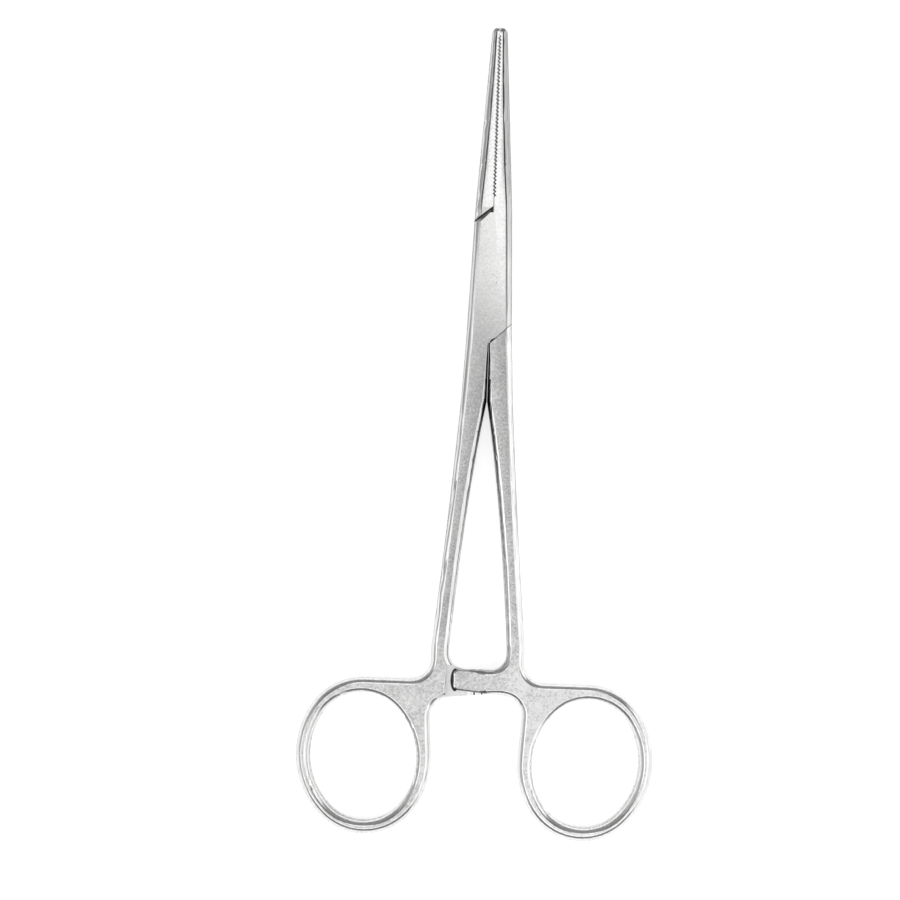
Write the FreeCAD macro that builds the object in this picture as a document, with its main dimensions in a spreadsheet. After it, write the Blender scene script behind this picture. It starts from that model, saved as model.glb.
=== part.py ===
import FreeCAD, Part
import math
import os
import Sketcher

# Straight hemostat forceps with a box lock, in millimetres.
# The forceps lie on their side, closed. The pin axis is +Z through the origin, +Y points
# to the jaw tips, +X is to the right as seen from above, and the underside of the box is
# the plane Z = 0. The object is three pieces: the box half, which holds the slotted box,
# the through half, whose tongue passes through the slot, and the pin.

SIZES = [
    ("box_thick", 4.6, "thickness of the box lock"),
    ("box_front", 14.3, "pin to the front end of the box, on the meeting line"),
    ("box_back", 12.5, "pin to the crotch behind the box"),
    ("box_front_half", 3.62, "half width at the front end of the box"),
    ("box_back_half", 4.57, "half width at the back end of the box"),
    ("box_bevel", 1.3, "width of the ground bevels along the box"),
    ("box_bevel_drop", 0.95, "depth of the ground bevels along the box"),
    ("box_bevel_turn", 17.0, "degrees by which a box bevel is rounded"),
    ("front_seam_slope", 39.0, "degrees of the seam in front of the pin"),
    ("back_seam_slope", 43.0, "degrees of the seam behind the pin"),
    ("front_seam_gap", 0.3, "gap between the box wall and the jaw's shoulder"),
    ("back_seam_gap", 0.12, "gap between the box wall and the shank's shoulder"),
    ("wall_end_bevel", 1.3, "width of the bevel on the front end of the box walls, at the flank"),
    ("wall_end_narrow", 0.5, "width of that bevel beside the meeting line"),
    ("wall_end_slope", 32.0, "degrees by which that bevel slopes down"),
    ("seam_notch_width", 0.65, "width of the notch where the front seam meets the jaws"),
    ("seam_notch_length", 1.0, "length of that notch along the meeting line"),
    ("seam_relief", 0.28, "width of the relief in the back seam beside the crotch"),
    ("seam_relief_end", 1.4, "meeting line to the end of that relief"),
    ("tongue_thick", 1.5, "thickness of the tongue inside the box"),
    ("slot_play", 0.05, "play on each face of the tongue"),
    ("split_gap", 0.1, "gap between the two halves along the meeting line"),
    ("stop_play", 0.12, "room between the tongue and the slot's stop when fully open"),
    ("opening_angle", 45.0, "degrees that the through half turns to full opening"),
    ("pin_radius", 1.2, "radius of the lock pin"),
    ("pin_play", 0.04, "running clearance of the pin in the tongue"),
    ("pin_edge", 0.08, "bevel round each end of the pin"),
    ("tip_reach", 50.0, "pin to the jaw tips"),
    ("tip_half", 1.45, "half width of the closed jaws at the tips"),
    ("tip_thick", 2.4, "thickness of the jaws at the tips"),
    ("tip_round", 1.25, "rounding of the jaw tips as seen from above"),
    ("tip_nose", 1.0, "length over which the tips are rounded off in thickness"),
    ("tip_end", 1.0, "thickness left at the very end of the tips"),
    ("jaw_face_middle", 1.15, "width of one jaw's flat face half way along"),
    ("jaw_face_tip", 0.45, "width of one jaw's flat face at the tip"),
    ("jaw_side_middle", 1.3, "height of the jaw's side wall half way along"),
    ("jaw_side_tip", 0.9, "height of the jaw's side wall at the tip"),
    ("jaw_turn", 34.0, "degrees by which a jaw's flank is rounded"),
    ("teeth_start", 16.3, "pin to the first serration"),
    ("tooth_pitch", 0.75, "pitch of the serrations"),
    ("tooth_depth", 0.35, "depth of the serrations"),
    ("tooth_mesh", 0.05, "how far the crests reach past the meeting line"),
    ("tooth_land", 0.08, "flat on the crest of each serration"),
    ("shank_meet", 24.0, "pin to the place where the shanks part"),
    ("shank_meet_half", 5.15, "half width where the shanks part"),
    ("shank_meet_thick", 4.3, "thickness where the shanks part"),
    ("shank_inner_one", 2.5, "inner edge of the shank at one third of its free length"),
    ("shank_outer_one", 6.35, "outer edge of the shank at one third of its free length"),
    ("shank_inner_two", 4.3, "inner edge of the shank at two thirds of its free length"),
    ("shank_outer_two", 7.7, "outer edge of the shank at two thirds of its free length"),
    ("shank_bevel", 1.15, "width of the shank's bevels"),
    ("shank_bevel_drop", 0.85, "depth of the shank's bevels"),
    ("shank_bevel_turn", 16.0, "degrees by which a shank's outer bevel is rounded"),
    ("inner_bevel", 1.1, "width of the rounded bevel inside the shank"),
    ("inner_bevel_drop", 1.1, "depth of the rounded bevel inside the shank"),
    ("inner_bevel_turn", 50.0, "degrees by which it is rounded"),
    ("valley_bevel", 0.25, "width of the inner bevels at the crotch"),
    ("valley_drop", 0.5, "depth of the inner bevels at the crotch"),
    ("parting_bevel", 0.95, "width of the inner bevels where the shanks part"),
    ("parting_drop", 1.5, "depth of the inner bevels where the shanks part"),
    ("handle_start", 72.5, "pin to the end of the shank, where the handle begins"),
    ("handle_thick", 3.7, "thickness of the handle and its ring"),
    ("shank_end_inner", 5.68, "inner edge at the end of the shank"),
    ("shank_end_outer", 9.22, "outer edge at the end of the shank"),
    ("ring_x", 21.9, "meeting line to the centre of the finger ring"),
    ("ring_y", 94.7, "pin to the centre of the finger ring"),
    ("ring_hole_length", 25.3, "long axis of the ring's opening"),
    ("ring_hole_width", 21.0, "short axis of the ring's opening"),
    ("ring_end_radius", 9.3, "radius of the opening at the ends of its long axis"),
    ("ring_lean", 6.0, "degrees by which the opening's long axis leans outwards"),
    ("ring_band", 2.8, "width of the ring's band"),
    ("neck_lean", 3.5, "degrees by which the edge below the ratchet arm leans"),
    ("elbow_radius", 4.0, "hollow between the shank and the top of the ring"),
    ("neck_radius", 4.0, "hollow between the ratchet arm and the ring"),
    ("crook_radius", 3.2, "hollow between the shank and the ratchet arm"),
    ("arm_reach", 4.7, "length of the ratchet arm past the meeting line"),
    ("arm_top", 77.0, "pin to the ratchet arm's upper edge"),
    ("upper_arm_root", 82.3, "pin to the upper arm's lower edge at its root"),
    ("lower_arm_root", 82.95, "pin to the lower arm's lower edge at its root"),
    ("arm_slope", 5.2, "degrees by which an arm's lower edge rises to its tip"),
    ("arm_nose", 1.2, "rounded corners of the ratchet arm"),
    ("arm_rim", 0.35, "bevel along the edges of the ratchet arm"),
    ("shank_rim", 1.0, "rounded bevel inside the end of the shank and the crook"),
    ("ring_rim", 1.15, "rounded bevel round the ring and its opening"),
    ("rim_turn", 34.0, "degrees by which the handle's bevels are rounded"),
    ("rim_shift", 0.25, "by how much the opening's bevel is cut off centre, away from the shank"),
    ("run_out", 15.0, "radius of the curve in which the bevels run out on the arm"),
    ("run_out_turn", 30.0, "degrees of that curve"),
    ("ratchet_step", 6.2, "meeting line to the step beside the other half's arm"),
    ("ratchet_step_top", 76.2, "pin to the top of that step"),
    ("ratchet_gap", 0.1, "gap between the crests of the ratchet teeth"),
    ("ratchet_pitch", 1.5, "pitch of the ratchet teeth"),
    ("ratchet_depth", 0.5, "depth of the ratchet teeth"),
    ("ratchet_teeth", 4, "number of ratchet teeth on each arm"),
    ("ratchet_lead", 0.5, "plain stretch at the tip of each arm"),
]

doc = FreeCAD.newDocument("hemostat_forceps")
sheet = doc.addObject("Spreadsheet::Sheet", "Sizes")
for row, (alias, number, meaning) in enumerate(SIZES, start=1):
    sheet.set(f"A{row}", meaning)
    sheet.set(f"B{row}", str(number))
    sheet.setAlias(f"B{row}", alias)
doc.recompute()

MARGIN = 8.0  # how far a cutting outline runs past the solid that it cuts


def measure(expression):
    """Work out an expression over the sheet, as a plain number."""
    value = sheet.evalExpression(str(expression))
    return float(getattr(value, "Value", value))


def minus(expression):
    return f"-({expression})"


def origin_feature(body, role):
    return next(item for item in body.Origin.OriginFeatures if item.Role == role)


def new_sketch(body, name, role="XY_Plane", offset=None):
    """Make a sketch on one of the body's planes, lifted along its normal by offset."""
    sketch = body.newObject("Sketcher::SketchObject", name)
    sketch.AttachmentSupport = [(origin_feature(body, role), "")]
    sketch.MapMode = "FlatFace"
    if offset is not None:
        sketch.setExpression("AttachmentOffset.Base.z", offset)
    return sketch


def arc_between(start, end, radius):
    """Return the short arc from start to end; a positive radius turns left."""
    step = end - start
    height = math.sqrt(max(radius * radius - step.Length ** 2 / 4, 0.0))
    across = FreeCAD.Vector(-step.y, step.x, 0).normalize()
    centre = (start + end) * 0.5 + across * math.copysign(height, radius)
    first = math.atan2(start.y - centre.y, start.x - centre.x)
    last = math.atan2(end.y - centre.y, end.x - centre.x)
    circle = Part.Circle(centre, FreeCAD.Vector(0, 0, 1), abs(radius))
    if radius > 0:
        return Part.ArcOfCircle(circle, first, last)
    return Part.ArcOfCircle(circle, last, first)


def draw_path(sketch, nodes, closed):
    """Draw lines and arcs. Each node is (x, y) or (x, y, radius of the arc that follows)."""
    nodes = [node if len(node) == 3 else (*node, None) for node in nodes]
    points = [FreeCAD.Vector(measure(x), measure(y), 0) for x, y, _ in nodes]
    edges = len(nodes) if closed else len(nodes) - 1
    first = sketch.GeometryCount
    starts, ends = [], []
    for index, (_, _, radius) in enumerate(nodes[:edges]):
        start, end = points[index], points[(index + 1) % len(points)]
        turns_right = radius is not None and measure(radius) < 0
        if radius is None:
            sketch.addGeometry(Part.LineSegment(start, end), False)
        else:
            sketch.addGeometry(arc_between(start, end, measure(radius)), False)
        starts.append(2 if turns_right else 1)
        ends.append(1 if turns_right else 2)
    for index, (x, y, radius) in enumerate(nodes):
        before = (index - 1) % len(nodes)
        edge, end = (first + index, starts[index]) if index < edges else (first + before, ends[before])
        if 0 < index < edges or closed:
            sketch.addConstraint(Sketcher.Constraint("Coincident", first + before, ends[before], edge, end))
        for kind, expression in (("DistanceX", x), ("DistanceY", y)):
            number = sketch.addConstraint(Sketcher.Constraint(kind, -1, 1, edge, end, measure(expression)))
            sketch.setExpression(f"Constraints[{number}]", str(expression))
        if radius is not None:
            number = sketch.addConstraint(Sketcher.Constraint("Radius", edge, abs(measure(radius))))
            sketch.setExpression(f"Constraints[{number}]", f"abs({radius})")


def draw_outline(sketch, nodes):
    draw_path(sketch, nodes, True)


def draw_circle(sketch, radius):
    """Draw a circle round the sketch's origin."""
    sketch.addGeometry(Part.Circle(FreeCAD.Vector(), FreeCAD.Vector(0, 0, 1), measure(radius)), False)
    sketch.addConstraint(Sketcher.Constraint("Coincident", 0, 3, -1, 1))
    number = sketch.addConstraint(Sketcher.Constraint("Radius", 0, measure(radius)))
    sketch.setExpression(f"Constraints[{number}]", radius)


def pad_both_ways(body, name, sketch, thickness):
    pad = body.newObject("PartDesign::Pad", name)
    pad.Profile = sketch
    pad.SideType = "Symmetric"
    pad.setExpression("Length", thickness)
    return pad


def pocket_both_ways(body, name, sketch, thickness):
    pocket = body.newObject("PartDesign::Pocket", name)
    pocket.Profile = sketch
    pocket.SideType = "Symmetric"
    pocket.setExpression("Length", thickness)
    return pocket


def pocket_away(body, name, sketch, depth, upwards):
    """Cut from the sketch's plane, upwards or downwards."""
    pocket = body.newObject("PartDesign::Pocket", name)
    pocket.Profile = sketch
    pocket.Reversed = upwards
    pocket.setExpression("Length", depth)
    return pocket


def repeat(body, name, feature, role, count, length, reverse=False):
    """Repeat a feature along one of the body's axes."""
    pattern = body.newObject("PartDesign::LinearPattern", name)
    pattern.Originals = [feature]
    pattern.Direction = (origin_feature(body, role), [""])
    pattern.Reversed = reverse
    pattern.setExpression("Length", length)
    pattern.setExpression("Occurrences", count)
    body.Tip = pattern
    return pattern


def edges_where(shape, test):
    return [number for number, edge in enumerate(shape.Edges, start=1) if test(edge)]


def cut_volume(feature, before):
    """Stop if a cutting feature has removed nothing."""
    doc.recompute()
    if feature.Shape.Volume > before - 1e-4:
        raise RuntimeError(f"{feature.Label} cuts nothing")
    return feature.Shape.Volume


# Sections of the forging, across the instrument. A section is drawn in a plane of constant
# Y, with its flats at the front and back and a rounded bevel on each ground corner.

def bulge(width, drop, turn):
    """Radius of a bevel that is width across, drop deep and rounded by turn degrees."""
    return f"(sqrt(({width})^2 + ({drop})^2) / (2 * sin(({turn}) / 2)))"


def bar_section(body, name, y, left, right, half, left_bevel, right_bevel):
    """A bar from left to right; each bevel is (width, drop, turn)."""
    sketch = new_sketch(body, name, "XZ_Plane", minus(y))
    left_width, left_drop, _ = left_bevel
    right_width, right_drop, _ = right_bevel
    left_round = bulge(*left_bevel)
    right_round = bulge(*right_bevel)
    draw_outline(sketch, [
        (f"{left} + {left_width}", minus(half)),
        (f"{right} - {right_width}", minus(half), right_round),
        (right, f"-({half}) + {right_drop}"),
        (right, f"{half} - ({right_drop})", right_round),
        (f"{right} - {right_width}", half),
        (f"{left} + {left_width}", half, left_round),
        (left, f"{half} - ({left_drop})"),
        (left, f"-({half}) + {left_drop}", left_round),
    ])
    return sketch


def jaw_section(body, name, y, half, width, face, side):
    """A jaw on the left: square to the teeth, and rounded on the flank."""
    sketch = new_sketch(body, name, "XZ_Plane", minus(y))
    turn = JAW_TURN[name]
    flank = bulge(f"{width} - ({face})", f"{half} - ({side})", turn)
    draw_outline(sketch, [
        (CREST, minus(half)),
        (CREST, half),
        (minus(face), half, flank),
        (minus(width), side),
        (minus(width), minus(side), flank),
        (minus(face), minus(half)),
    ])
    return sketch


def loft(body, name, sections, ruled):
    feature = body.newObject("PartDesign::AdditiveLoft", name)
    feature.Profile = sections[0]
    feature.Sections = sections[1:]
    feature.Ruled = ruled
    return feature


HALF_GAP = "Sizes.split_gap / 2"
CREST = "Sizes.tooth_mesh"
BOX_HALF_THICK = "Sizes.box_thick / 2"
BOX_BEVEL = ("Sizes.box_bevel", "Sizes.box_bevel_drop", "Sizes.box_bevel_turn")
SHANK_BEVEL = ("Sizes.shank_bevel", "Sizes.shank_bevel_drop", "Sizes.shank_bevel_turn")
INNER_BEVEL = ("Sizes.inner_bevel", "Sizes.inner_bevel_drop", "Sizes.inner_bevel_turn")
VALLEY_BEVEL = ("Sizes.valley_bevel", "Sizes.valley_drop", "Sizes.inner_bevel_turn")
PARTING_BEVEL = ("Sizes.parting_bevel", "Sizes.parting_drop", "Sizes.inner_bevel_turn")
SHANK_RIM = ("Sizes.shank_rim", "Sizes.shank_rim", "Sizes.rim_turn")
RING_RIM = ("Sizes.ring_rim", "Sizes.ring_rim", "Sizes.rim_turn")
JAW_TURN = {"jaw_root": "Sizes.box_bevel_turn", "jaw_middle": "Sizes.jaw_turn", "jaw_tip": "Sizes.jaw_turn"}


def forge_bar():
    """Jaw, box and shank of the through half, before the lock is cut."""
    body = doc.addObject("PartDesign::Body", "Bar")
    box = [
        bar_section(body, name, y, minus(half), half, BOX_HALF_THICK, BOX_BEVEL, BOX_BEVEL)
        for name, y, half in (
            ("box_back", "-Sizes.box_back", "Sizes.box_back_half"),
            ("box_front", "Sizes.box_front", "Sizes.box_front_half"))
    ]
    loft(body, "box", box, True)

    middle = "(Sizes.box_front + Sizes.tip_reach) / 2"
    jaw = [
        jaw_section(body, "jaw_root", "Sizes.box_front", BOX_HALF_THICK, "Sizes.box_front_half",
                    "Sizes.box_front_half - Sizes.box_bevel",
                    "Sizes.box_thick / 2 - Sizes.box_bevel_drop"),
        jaw_section(body, "jaw_middle", middle, "(Sizes.box_thick + Sizes.tip_thick) / 4",
                    "(Sizes.box_front_half + Sizes.tip_half) / 2", "Sizes.jaw_face_middle",
                    "Sizes.jaw_side_middle / 2"),
        jaw_section(body, "jaw_tip", "Sizes.tip_reach", "Sizes.tip_thick / 2", "Sizes.tip_half",
                    "Sizes.jaw_face_tip", "Sizes.jaw_side_tip / 2"),
    ]
    loft(body, "jaw", jaw, False)
    corner = new_sketch(body, "tip_corner_plan")
    start = "-Sizes.tip_half - Sizes.tip_round * (Sizes.box_front_half - Sizes.tip_half)"
    start += " / (Sizes.tip_reach - Sizes.box_front)"
    draw_outline(corner, [
        (start, "Sizes.tip_reach - Sizes.tip_round", "-1.04 * Sizes.tip_round"),
        ("Sizes.tip_round - Sizes.tip_half", "Sizes.tip_reach"),
        ("Sizes.tip_round - Sizes.tip_half", "Sizes.tip_reach + 1"),
        ("-Sizes.tip_half - 1", "Sizes.tip_reach + 1"),
        ("-Sizes.tip_half - 1", "Sizes.tip_reach - Sizes.tip_round"),
    ])
    pocket_both_ways(body, "tip_corner", corner, "2 * Sizes.tip_thick")

    third = "(Sizes.handle_start - Sizes.shank_meet) / 3"
    taper = "(Sizes.shank_meet_thick - Sizes.handle_thick) / 6"
    root = bar_section(body, "shank_root", "-Sizes.box_back", HALF_GAP, "Sizes.box_back_half",
                       BOX_HALF_THICK, VALLEY_BEVEL, BOX_BEVEL)
    meet = bar_section(body, "shank_meet", "-Sizes.shank_meet", HALF_GAP, "Sizes.shank_meet_half",
                       "Sizes.shank_meet_thick / 2", PARTING_BEVEL, SHANK_BEVEL)
    loft(body, "shank_upper", [root, meet], True)
    lower = [
        bar_section(body, "shank_start", "-Sizes.shank_meet", HALF_GAP, "Sizes.shank_meet_half",
                    "Sizes.shank_meet_thick / 2", PARTING_BEVEL, SHANK_BEVEL),
        bar_section(body, "shank_one", f"-Sizes.shank_meet - {third}", "Sizes.shank_inner_one",
                    "Sizes.shank_outer_one", f"Sizes.shank_meet_thick / 2 - {taper}",
                    INNER_BEVEL, SHANK_BEVEL),
        bar_section(body, "shank_two", f"-Sizes.shank_meet - 2 * {third}", "Sizes.shank_inner_two",
                    "Sizes.shank_outer_two", f"Sizes.shank_meet_thick / 2 - 2 * {taper}",
                    INNER_BEVEL, SHANK_BEVEL),
        bar_section(body, "shank_end", "-Sizes.handle_start", "Sizes.shank_end_inner",
                    "Sizes.shank_end_outer", "Sizes.handle_thick / 2", SHANK_RIM, RING_RIM),
    ]
    loft(body, "shank_lower", lower, False)

    nose = new_sketch(body, "tip_nose_profile", "YZ_Plane")
    taper = "(Sizes.box_thick - Sizes.tip_thick) / (Sizes.tip_reach - Sizes.box_front)"
    top = f"((Sizes.tip_thick + Sizes.tip_nose * {taper}) / 2)"
    nose_round = bulge("Sizes.tip_nose", f"{top} - Sizes.tip_end / 2", "Sizes.inner_bevel_turn")
    draw_outline(nose, [
        ("Sizes.tip_reach - Sizes.tip_nose", top, minus(nose_round)),
        ("Sizes.tip_reach", "Sizes.tip_end / 2"),
        ("Sizes.tip_reach + 1", "Sizes.tip_end / 2"),
        ("Sizes.tip_reach + 1", "Sizes.tip_thick"),
        ("Sizes.tip_reach - Sizes.tip_nose", "Sizes.tip_thick"),
    ])
    upper = pocket_both_ways(body, "tip_nose_upper", nose, "4 * Sizes.tip_half")
    doc.recompute()
    volume = upper.Shape.Volume
    both = body.newObject("PartDesign::Mirrored", "tip_nose")
    both.Originals = [upper]
    both.MirrorPlane = (origin_feature(body, "XY_Plane"), [""])
    body.Tip = both
    cut_volume(both, volume)
    return body


# The handle: the end of the shank, the ratchet arm and the finger ring in one plate. The
# ring's opening is an oval of four arcs, two of ring_end_radius at the ends of its long
# axis and two larger ones along its sides, and the band follows it at an even width.

END_SHIFT = "(Sizes.ring_hole_length / 2 - Sizes.ring_end_radius)"
SIDE_RADIUS = (f"(({END_SHIFT}^2 + (Sizes.ring_hole_width / 2)^2 - Sizes.ring_end_radius^2)"
               " / (Sizes.ring_hole_width - 2 * Sizes.ring_end_radius))")
SIDE_SHIFT = f"({SIDE_RADIUS} - Sizes.ring_hole_width / 2)"
END_SPAN = f"atan({SIDE_SHIFT} / {END_SHIFT})"
END_OUTSIDE = "(Sizes.ring_end_radius + Sizes.ring_band)"
SIDE_OUTSIDE = f"({SIDE_RADIUS} + Sizes.ring_band)"
RING_TOP = f"(-Sizes.ring_y + {END_SHIFT} * cos(Sizes.ring_lean) + {END_OUTSIDE})"


def oval_node(upper, side, radius, shift="0"):
    """Where an end arc meets a side arc; side is 1 away from the meeting line, else -1."""
    way = "+" if upper else "-"
    angle = f"((90 - Sizes.ring_lean) * 1 deg - ({side}) * {END_SPAN})"
    if not upper:
        angle = f"((270 - Sizes.ring_lean) * 1 deg + ({side}) * {END_SPAN})"
    x = f"Sizes.ring_x + {shift} {way} {END_SHIFT} * sin(Sizes.ring_lean) + {radius} * cos({angle})"
    y = f"-Sizes.ring_y - {shift} {way} {END_SHIFT} * cos(Sizes.ring_lean) + {radius} * sin({angle})"
    return x, y


def opening_nodes(shift="0"):
    """The oval opening, clockwise from where its upper end runs along X."""
    end_radius = "Sizes.ring_end_radius"
    return [
        (f"Sizes.ring_x + {shift} + {END_SHIFT} * sin(Sizes.ring_lean)",
         f"-Sizes.ring_y - {shift} + {END_SHIFT} * cos(Sizes.ring_lean) + {end_radius}",
         minus(end_radius)),
        (*oval_node(True, 1, end_radius, shift), minus(SIDE_RADIUS)),
        (*oval_node(False, 1, end_radius, shift), minus(end_radius)),
        (*oval_node(False, -1, end_radius, shift), minus(SIDE_RADIUS)),
        (*oval_node(True, -1, end_radius, shift), minus(end_radius)),
    ]


def ring_side_nodes(root):
    """From the shank's outer edge round the ring to the root of the arm's lower edge."""
    elbow = "Sizes.elbow_radius"
    return [
        ("Sizes.shank_end_outer", "-Sizes.handle_start"),
        ("Sizes.shank_end_outer", f"{RING_TOP} + {elbow}", elbow),
        (f"Sizes.shank_end_outer + {elbow}", RING_TOP),
        (f"Sizes.ring_x + {END_SHIFT} * sin(Sizes.ring_lean)", RING_TOP, minus(END_OUTSIDE)),
        (*oval_node(True, 1, END_OUTSIDE), minus(SIDE_OUTSIDE)),
        (*oval_node(False, 1, END_OUTSIDE), minus(END_OUTSIDE)),
        (*oval_node(False, -1, END_OUTSIDE), minus(SIDE_OUTSIDE)),
        (NECK_X, NECK_Y),
        (f"{root_x(root)} - {NECK_RUN} * sin(Sizes.neck_lean)",
         f"-{root} - {NECK_RUN} * cos(Sizes.neck_lean)", "Sizes.neck_radius"),
        arm_start(root),
    ]


NECK_X = f"(Sizes.ring_x + {SIDE_SHIFT} * cos(Sizes.ring_lean) - {SIDE_OUTSIDE} * cos(Sizes.neck_lean))"
NECK_Y = f"(-Sizes.ring_y - {SIDE_SHIFT} * sin(Sizes.ring_lean) + {SIDE_OUTSIDE} * sin(Sizes.neck_lean))"
NECK_RUN = "(Sizes.neck_radius * tan((90 + Sizes.neck_lean - Sizes.arm_slope) / 2))"
NOSE_RUN = "(Sizes.arm_nose * tan((90 - Sizes.arm_slope) / 2))"
ARM_END = ("Sizes.shank_end_inner - Sizes.crook_radius", "-Sizes.arm_top")
CROOK_TOP = ("Sizes.shank_end_inner", "-Sizes.arm_top + Sizes.crook_radius")


def root_x(root):
    """Where the neck's edge, drawn on, meets the arm's lower edge; root is the arm's size."""
    return f"({NECK_X} - ({root} + {NECK_Y}) * tan(Sizes.neck_lean))"


def arm_start(root):
    return (f"{root_x(root)} - {NECK_RUN} * cos(Sizes.arm_slope)",
            f"-{root} + {NECK_RUN} * sin(Sizes.arm_slope)")


def arm_side(root):
    """From the root of the arm's lower edge round its nose to the crook."""
    nose_y = f"(-{root} + ({root_x(root)} + Sizes.arm_reach) * tan(Sizes.arm_slope))"
    return [
        arm_start(root),
        (f"-Sizes.arm_reach + {NOSE_RUN} * cos(Sizes.arm_slope)",
         f"{nose_y} - {NOSE_RUN} * sin(Sizes.arm_slope)", "-Sizes.arm_nose"),
        ("-Sizes.arm_reach", f"{nose_y} + {NOSE_RUN}"),
        ("-Sizes.arm_reach", "-Sizes.arm_top - Sizes.arm_nose", "-Sizes.arm_nose"),
        ("-Sizes.arm_reach + Sizes.arm_nose", "-Sizes.arm_top"),
        ARM_END,
    ]


def cut_rim(body, name, path_nodes, closed, corner, inwards, bevel, role, offset):
    """Cut a rounded bevel along a path on the upper face, and return the cutting feature.

    corner is the path's start across the profile, and inwards is 1 or -1, the way from
    there into the metal.
    """
    path = new_sketch(body, name + "_path")
    draw_path(path, path_nodes, closed)
    width, drop, turn = bevel
    half = "Sizes.handle_thick / 2"
    rounding = bulge(*bevel) if turn != "0" else None
    clear = f"{corner} - ({inwards}) * 0.5"
    profile = new_sketch(body, name + "_profile", role, offset)
    draw_outline(profile, [
        (f"{corner} + ({inwards}) * ({width})", half,
         rounding and f"({inwards}) * {rounding}"),
        (corner, f"{half} - ({drop})"),
        (clear, f"{half} - ({drop})"),
        (clear, f"{half} + 0.5"),
        (f"{corner} + ({inwards}) * ({width})", f"{half} + 0.5"),
    ])
    rim = body.newObject("PartDesign::SubtractivePipe", name)
    rim.Profile = profile
    rim.Spine = (path, [f"Edge{number}" for number in range(1, path.GeometryCount + 1)])
    rim.Mode = "Binormal"
    rim.Binormal = FreeCAD.Vector(0, 0, 1)
    return rim


def forge_handle(name, root):
    """The plate of one handle, with its bevels cut along the edges of both faces."""
    body = doc.addObject("PartDesign::Body", name)
    plan = new_sketch(body, "handle_plan")
    ring_side = ring_side_nodes(root)
    arm = arm_side(root)
    start_x, start_y = arm_start(root)
    draw_outline(plan, [("Sizes.shank_end_inner", "-Sizes.handle_start"), *ring_side[:-1],
                        *arm[:-1], (*ARM_END, "Sizes.crook_radius"), CROOK_TOP])
    draw_outline(plan, opening_nodes())
    plate = pad_both_ways(body, "plate", plan, "Sizes.handle_thick")
    doc.recompute()
    volume = plate.Shape.Volume

    lean, turn = "Sizes.arm_slope", "Sizes.run_out_turn"
    low_end = (f"{start_x} - Sizes.run_out * (sin({turn} - {lean}) + sin({lean}))",
               f"{start_y} - Sizes.run_out * (cos({lean}) - cos({turn} - {lean}))")
    high_end = (f"{ARM_END[0]} - Sizes.run_out * sin({turn})",
                f"{ARM_END[1]} + Sizes.run_out * (1 - cos({turn}))")
    start = "Sizes.handle_start"
    shift = "Sizes.rim_shift"
    opening = opening_nodes(shift)
    rims = [
        cut_rim(body, "ring_rim", [*ring_side[:-1], (start_x, start_y, "Sizes.run_out"), low_end],
                False, "Sizes.shank_end_outer", -1, RING_RIM, "XZ_Plane", start),
        cut_rim(body, "crook_rim", [("Sizes.shank_end_inner", minus(start)),
                                    (*CROOK_TOP, "-Sizes.crook_radius"),
                                    (*ARM_END, "-Sizes.run_out"), high_end],
                False, "Sizes.shank_end_inner", 1, SHANK_RIM, "XZ_Plane", start),
        cut_rim(body, "opening_rim", opening, True, opening[0][1], 1, RING_RIM,
                "YZ_Plane", opening[0][0]),
        cut_rim(body, "arm_rim", arm, False, start_y, 1,
                ("Sizes.arm_rim", "Sizes.arm_rim", "0"), "YZ_Plane", start_x),
    ]
    for rim in rims:
        volume = cut_volume(rim, volume)
    both = body.newObject("PartDesign::Mirrored", "lower_rims")
    both.Originals = rims
    both.MirrorPlane = (origin_feature(body, "XY_Plane"), [""])
    body.Tip = both
    cut_volume(both, volume)
    return body


# The lock. Lines of the seams and of the slot's stops, as y at a given x.

def front_seam(x, gap="0"):
    return f"(Sizes.box_front + ({gap}) / cos(Sizes.front_seam_slope) + ({x}) * tan(Sizes.front_seam_slope))"


def back_seam(x, gap="0"):
    return f"(-Sizes.box_back - ({gap}) / cos(Sizes.back_seam_slope) + ({x}) * tan(Sizes.back_seam_slope))"


PIN_HALF_WIDTH = ("((Sizes.box_front_half * Sizes.box_back + Sizes.box_back_half * Sizes.box_front)"
                  " / (Sizes.box_front + Sizes.box_back))")


STOP_REACH = f"({PIN_HALF_WIDTH} + Sizes.stop_play)"
TONGUE_REACH = f"({STOP_REACH} - Sizes.split_gap)"
MOUTH = "(Sizes.tooth_pitch - Sizes.tooth_land) / 2"


def stop_line(x, reach):
    """The slot's stop in front of the pin: square to the tongue's edge at full opening."""
    return f"(({reach} - ({x}) * cos(Sizes.opening_angle)) / sin(Sizes.opening_angle))"


FAR = f"{MARGIN}"
PAST_BACK = "(-Sizes.box_back - 1)"


def cut_pin_hole(body, radius, before):
    sketch = new_sketch(body, body.Name + "_pin_circle")
    draw_circle(sketch, radius)
    hole = pocket_both_ways(body, body.Name + "_pin_hole", sketch, "2 * Sizes.box_thick")
    return cut_volume(hole, before)


def cut_serrations(body, side, shift, before):
    """Cut the transverse grooves of one jaw; side is -1 for the left jaw."""
    first = f"(Sizes.teeth_start + ({shift}) * Sizes.tooth_pitch)"
    face = f"({-side}) * {CREST}"
    sketch = new_sketch(body, body.Name + "_groove_profile")
    draw_outline(sketch, [
        (face, f"{first} - {MOUTH}"),
        (f"{face} - ({side}) * 1", f"{first} - {MOUTH}"),
        (f"{face} - ({side}) * 1", f"{first} + {MOUTH}"),
        (face, f"{first} + {MOUTH}"),
        (f"{face} + ({side}) * Sizes.tooth_depth", first),
    ])
    groove = pocket_both_ways(body, body.Name + "_groove", sketch, "2 * Sizes.box_thick")
    doc.recompute()
    count = f"floor((Sizes.tip_reach - Sizes.teeth_start + {MOUTH}) / Sizes.tooth_pitch - {shift} + 1)"
    grooves = repeat(body, body.Name + "_serrations", groove, "Y_Axis", count,
                     f"({count} - 1) * Sizes.tooth_pitch")
    return cut_volume(grooves, before)


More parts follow.
